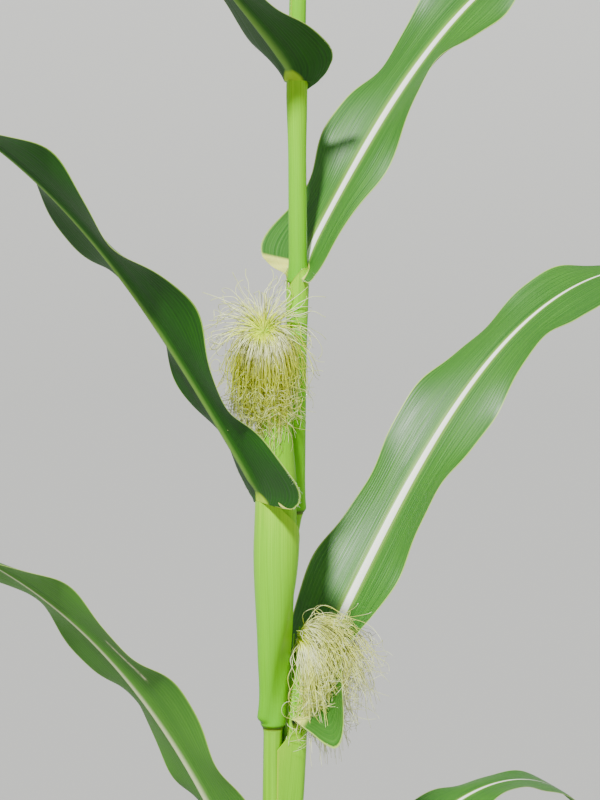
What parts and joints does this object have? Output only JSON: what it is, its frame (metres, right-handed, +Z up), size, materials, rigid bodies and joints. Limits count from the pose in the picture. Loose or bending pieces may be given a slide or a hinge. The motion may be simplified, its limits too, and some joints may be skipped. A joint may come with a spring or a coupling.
{
  "type": "maize plant",
  "caption": "Tall maize plant in flower: jointed stem on brace roots, sheathed arching blades on two sides, husked ears with hanging silk, and a branched tassel.",
  "frame": {"origin": "middle of the stem's flat cut at ground level", "axes": "+Z up along the stem; seen along +Y the upper ear's leaf points to the left and front, and the leaves above and below it to the right and back"},
  "size_m": [1.127, 0.9659, 2.6454],
  "materials": {
    "stem": "smooth waxy green stalk, paler rings at the joints, reddish brace roots",
    "sheath": "smooth yellow-green leaf sheath with fine lengthwise veins",
    "blade": "waxy green leaf blade with a pale midrib and fine parallel veins",
    "husk": "fresh yellow-green husk leaves with fine ribs",
    "silk": "fine glossy threads, pale yellow-green with a golden tint",
    "tassel": "dull straw-yellow spikelets in rows on thin branches"
  },
  "bodies": {
    "root": {"stem": "stem", "sheath_01": "sheath", "blade_01": "blade", "sheath_02": "sheath", "blade_02": "blade", "sheath_03": "sheath", "blade_03": "blade", "sheath_04": "sheath", "blade_04": "blade", "sheath_05": "sheath", "blade_05": "blade", "sheath_06": "sheath", "blade_06": "blade", "sheath_07": "sheath", "blade_07": "blade", "sheath_08": "sheath", "blade_08": "blade", "sheath_09": "sheath", "blade_09": "blade", "sheath_10": "sheath", "blade_10": "blade", "sheath_11": "sheath", "blade_11": "blade", "sheath_12": "sheath", "blade_12": "blade", "ear_lower": "husk", "ear_upper": "husk", "silk_lower": "silk", "silk_upper": "silk", "tassel": "tassel"}
  },
  "joints": []
}
